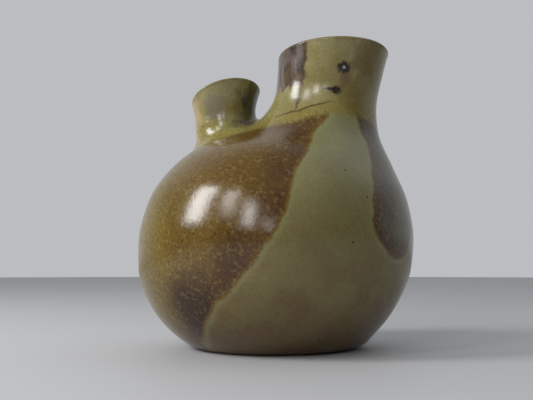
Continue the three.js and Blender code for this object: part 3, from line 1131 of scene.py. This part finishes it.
def glaze_group():
    """The whole glaze: where the pours and the neck glaze lie, and how they look."""
    outputs = {"Color": COLOR, "Roughness": FLOAT, "Height": FLOAT}
    tree, _, result = new_group("vase_glaze", {}, outputs)
    where = node(tree, "ShaderNodeTexCoord").outputs["Object"]
    height = node(tree, "ShaderNodeSeparateXYZ", {0: where}).outputs["Z"]
    fine = noise(tree, where, FINE_SIZE)
    grain = noise(tree, where, GRAIN_SIZE, 4.0)
    broad = noise(tree, where, BROAD_SIZE, 3.0)
    wobble = uneven(tree, broad, EDGE_WOBBLE)
    left = maths(tree, "ADD", depth(tree, "left_pour"), wobble)
    right = maths(tree, "ADD", depth(tree, "right_pour"), wobble)
    neck = maths(tree, "ADD", depth(tree, "neck_glaze"), wobble)
    edge = maths(tree, "MAXIMUM", left, right)
    inside = fade(tree, edge, "speckle")
    hole = pinholes(tree, where)
    bare = ramp(tree, height, *FOOT_EDGE)

    colour = pale_glaze(tree, where, edge)
    colour = mix(tree, fade(tree, left, "ochre"), colour, ochre_pour(tree, where, left))
    colour = mix(tree, fade(tree, right, "dun"), colour, dun_pour(tree, where, right))
    colour = mix(tree, fade(tree, neck, "neck"), colour, neck_glaze(tree, where, neck))
    colour = speckled(tree, colour, inside, fine, grain)
    colour = mix(tree, product(tree, hole, PINHOLE_STRENGTH), colour, tint("pinhole"))
    colour = mix(tree, bare, colour, tint("bare_clay"))

    waves = product(tree, broad, BROAD_RELIEF)
    grains = product(tree, grain, GRAIN_RELIEF)
    peel = product(tree, fine, FINE_RELIEF)
    relief = total(tree, waves, grains, peel, product(tree, inside, POUR_RELIEF))
    relief = maths(tree, "SUBTRACT", relief, product(tree, hole, PINHOLE_RELIEF))
    rough = total(tree, product(tree, grain, GRAIN_ROUGHNESS), GLOSS)
    rough = total(tree, rough, product(tree, bare, CLAY_ROUGHNESS))
    tree.links.new(colour, result.inputs["Color"])
    tree.links.new(rough, result.inputs["Roughness"])
    tree.links.new(relief, result.inputs["Height"])


GROUPS = {"mottle": mottle_group, "spot": spot_group, "vase_glaze": glaze_group}


def glaze_material(name):
    """A material with the shared glaze."""
    material = bpy.data.materials.get(name)
    if material:
        return material
    for title, make in GROUPS.items():
        if title not in bpy.data.node_groups:
            make()
    material = bpy.data.materials.new(name)
    material.use_nodes = True
    tree = material.node_tree
    tree.nodes.clear()
    glaze = node(tree, "ShaderNodeGroup", node_tree=bpy.data.node_groups["vase_glaze"]).outputs
    relief = bpy.context.scene.vase_glaze.relief
    inputs = {"Height": glaze["Height"], "Strength": 1.0, "Distance": relief}
    bump = node(tree, "ShaderNodeBump", inputs)
    inputs = {
        "Base Color": glaze["Color"],
        "Roughness": glaze["Roughness"],
        "Normal": bump.outputs["Normal"],
        "IOR": GLAZE_IOR,
    }
    shader = node(tree, "ShaderNodeBsdfPrincipled", inputs)
    node(tree, "ShaderNodeOutputMaterial", {"Surface": shader.outputs["BSDF"]})
    return material


# Stage


def stage_material(name, colour):
    """A plain matt material."""
    material = bpy.data.materials.new(name)
    material.use_nodes = True
    shader = material.node_tree.nodes["Principled BSDF"]
    shader.inputs["Base Color"].default_value = colour
    shader.inputs["Roughness"].default_value = FLOOR_ROUGHNESS
    return material


def area_light(name, azimuth, elevation, width, height, power):
    """A soft panel light that faces the vase from an azimuth and an elevation."""
    a, e = math.radians(azimuth), math.radians(elevation)
    back = Vector((math.cos(a) * math.cos(e), math.sin(a) * math.cos(e), math.sin(e)))
    light = bpy.data.lights.new(name, "AREA")
    light.shape = "RECTANGLE"
    light.size, light.size_y = width, height
    light.energy = power
    lamp = bpy.data.objects.new(name, light)
    lamp.location = Vector(WINDOW_AIM) + back * WINDOW_DISTANCE
    lamp.rotation_euler = back.to_track_quat("Z", "Y").to_euler()
    bpy.context.scene.collection.objects.link(lamp)


def make_surround(settings):
    """Makes the surround: pale to the camera, and to the glaze pale behind and above, dim in front."""
    world = bpy.data.worlds.new("surround")
    bpy.context.scene.world = world
    world.use_nodes = True
    tree = world.node_tree
    tree.nodes.clear()
    way = node(tree, "ShaderNodeTexCoord").outputs["Generated"]
    side = node(tree, "ShaderNodeSeparateXYZ", {0: way}).outputs
    shares = [
        ramp(tree, side[axis], start, full, 0.0, share) for axis, start, full, share in SURROUND_LIGHT
    ]
    level = product(tree, total(tree, *shares, SURROUND_LEAST), settings.ambient)
    path = node(tree, "ShaderNodeLightPath").outputs
    seen = maths(tree, "MAXIMUM", path["Is Camera Ray"], path["Is Transmission Ray"])
    pale = node(tree, "ShaderNodeBackground", {"Color": settings.surround_colour, "Strength": 1.0})
    lit = node(tree, "ShaderNodeBackground", {"Color": SURROUND_TINT, "Strength": level})
    both = node(tree, "ShaderNodeMixShader", {0: seen, 1: lit.outputs[0], 2: pale.outputs[0]})
    node(tree, "ShaderNodeOutputWorld", {"Surface": both.outputs[0]})


def make_floor(settings):
    """Makes the round floor."""
    rim = [(FLOOR_RADIUS * math.cos(t), FLOOR_RADIUS * math.sin(t), 0) for t in turns(FLOOR_SIDES)]
    mesh = bpy.data.meshes.new("floor")
    mesh.from_pydata(rim, [], [tuple(range(FLOOR_SIDES))])
    mesh.materials.append(stage_material("floor_matt", settings.floor_colour))
    floor = bpy.data.objects.new("floor", mesh)
    bpy.context.scene.collection.objects.link(floor)


def make_camera(settings):
    """Makes the camera."""
    camera = bpy.data.cameras.new("camera")
    camera.sensor_width = SENSOR_WIDTH
    camera.lens = settings.camera_lens
    viewer = bpy.data.objects.new("camera", camera)
    viewer.location = settings.camera_place
    viewer.rotation_euler = (math.pi / 2 + settings.camera_pitch, 0, settings.camera_turn)
    bpy.context.scene.collection.objects.link(viewer)
    bpy.context.scene.camera = viewer


# Add-on


def size_properties(sizes, texts):
    """Properties for sizes, whose defaults are given in millimetres and degrees."""
    properties = {}
    for key, (title, text, unit) in texts.items():
        options = {"name": title, "description": text, "unit": unit}
        if isinstance(sizes[key], tuple):
            default = [value * UNITS[unit] for value in sizes[key]]
            properties[key] = FloatVectorProperty(default=default, size=len(default), **options)
        else:
            default = sizes[key] * UNITS[unit]
            properties[key] = FloatProperty(default=default, precision=4, **options)
    return properties


def take_sizes(group, sizes, texts):
    """Takes sizes over from the panel, in millimetres and degrees."""
    for key, (_, _, unit) in texts.items():
        value = getattr(group, key)
        if isinstance(sizes[key], tuple):
            sizes[key] = tuple(part / UNITS[unit] for part in value)
        else:
            sizes[key] = value / UNITS[unit]


def take_all_sizes(scene):
    """Takes the sizes of the body and both necks over from the panel."""
    take_sizes(scene.vase_body, BODY, BODY_TEXTS)
    take_sizes(scene.vase_large_neck, LARGE_NECK, NECK_TEXTS)
    take_sizes(scene.vase_small_neck, SMALL_NECK, NECK_TEXTS)


class VaseBody(bpy.types.PropertyGroup):
    """The sizes of the body"""

    __annotations__ = size_properties(BODY, BODY_TEXTS)


class VaseLargeNeck(bpy.types.PropertyGroup):
    """The sizes of the large neck"""

    __annotations__ = size_properties(LARGE_NECK, NECK_TEXTS)


class VaseSmallNeck(bpy.types.PropertyGroup):
    """The sizes of the small neck"""

    __annotations__ = size_properties(SMALL_NECK, NECK_TEXTS)


class VaseGlaze(bpy.types.PropertyGroup):
    """The colours of the glaze, and how deep its relief is"""

    __annotations__ = {
        name: FloatVectorProperty(
            name=name.replace("_", " ").capitalize(), description=text, subtype="COLOR", size=4,
            min=0.0, max=1.0, default=srgb(*colour),
        )
        for name, (colour, text) in GLAZE.items()
    }
    __annotations__["relief"] = FloatProperty(
        name="Relief", description="Depth of one millimetre of relief", default=MM, unit="LENGTH",
        precision=5,
    )


class VaseStage(bpy.types.PropertyGroup):
    """The floor, the surround, the light and the camera"""

    floor_colour: FloatVectorProperty(
        name="Floor", description="Colour of the floor", subtype="COLOR", size=4,
        default=(0.52, 0.52, 0.53, 1),
    )
    surround_colour: FloatVectorProperty(
        name="Surround", description="Colour behind the vase", subtype="COLOR", size=4,
        default=(0.5, 0.51, 0.53, 1),
    )
    ambient: FloatProperty(
        name="Ambient", description="Share of the light from round about", default=1.0, min=0.0,
    )
    light: FloatProperty(
        name="Panel lights", description="Share of the panel lights' power", default=1.0, min=0.0,
    )
    camera_lens: FloatProperty(
        name="Lens", description="Focal length of the camera", default=49.1, unit="CAMERA",
    )
    camera_place: FloatVectorProperty(
        name="Camera", description="Where the camera stands", subtype="XYZ", unit="LENGTH",
        default=(0.1407, -0.5524, 0.06205),
    )
    camera_pitch: FloatProperty(
        name="Pitch", description="How far the camera looks up", default=math.radians(5.25),
        unit="ROTATION",
    )
    camera_turn: FloatProperty(
        name="Turn", description="How far the camera is turned", default=math.radians(15),
        unit="ROTATION",
    )


class VASE_OT_bowl(bpy.types.Operator):
    """Make the thrown bowl with its foot ring"""

    bl_idname = "vase.bowl"
    bl_label = "Make bowl"

    def execute(self, context):
        take_all_sizes(context.scene)
        make_bowl(glaze_material("glazed_body"))
        return {"FINISHED"}


class VASE_OT_dome(bpy.types.Operator):
    """Make the dome that the necks stand on"""

    bl_idname = "vase.dome"
    bl_label = "Make dome"

    def execute(self, context):
        take_all_sizes(context.scene)
        make_dome(glaze_material("glazed_body"))
        return {"FINISHED"}


class VASE_OT_necks(bpy.types.Operator):
    """Make the large and the small neck"""

    bl_idname = "vase.necks"
    bl_label = "Make necks"

    def execute(self, context):
        take_all_sizes(context.scene)
        make_neck(LARGE_NECK, "large_neck", glaze_material("glazed_large_neck"))
        make_neck(SMALL_NECK, "small_neck", glaze_material("glazed_small_neck"))
        return {"FINISHED"}


class VASE_OT_stage(bpy.types.Operator):
    """Make the floor, the surround, the lights and the camera"""

    bl_idname = "vase.stage"
    bl_label = "Make stage"

    def execute(self, context):
        settings = context.scene.vase_stage
        make_floor(settings)
        make_surround(settings)
        for *panel, power in WINDOWS:
            area_light(*panel, power * settings.light)
        make_camera(settings)
        context.scene.view_settings.view_transform = "Standard"
        return {"FINISHED"}


SETTINGS = {
    "vase_body": VaseBody,
    "vase_large_neck": VaseLargeNeck,
    "vase_small_neck": VaseSmallNeck,
    "vase_glaze": VaseGlaze,
    "vase_stage": VaseStage,
}
STEPS = (VASE_OT_bowl, VASE_OT_dome, VASE_OT_necks, VASE_OT_stage)


class VASE_PT_panel(bpy.types.Panel):
    """Lists the steps that build the vase, and what can be changed"""

    bl_label = "Vase"
    bl_idname = "VASE_PT_panel"
    bl_space_type = "VIEW_3D"
    bl_region_type = "UI"
    bl_category = "Vase"

    def draw(self, context):
        for step in STEPS:
            self.layout.operator(step.bl_idname)
        for name, group in SETTINGS.items():
            box = self.layout.box()
            for key in group.__annotations__:
                box.prop(getattr(context.scene, name), key)


CLASSES = (*SETTINGS.values(), *STEPS, VASE_PT_panel)


def register():
    """Registers the add-on's classes and its settings."""
    for cls in CLASSES:
        bpy.utils.register_class(cls)
    for name, group in SETTINGS.items():
        setattr(bpy.types.Scene, name, PointerProperty(type=group))


def unregister():
    """Removes the add-on's settings and classes."""
    for name in SETTINGS:
        delattr(bpy.types.Scene, name)
    for cls in reversed(CLASSES):
        bpy.utils.unregister_class(cls)


def main():
    """Builds the vase and its stage."""
    register()
    bpy.ops.vase.bowl()
    bpy.ops.vase.dome()
    bpy.ops.vase.necks()
    bpy.ops.vase.stage()


if __name__ == "__main__":
    main()
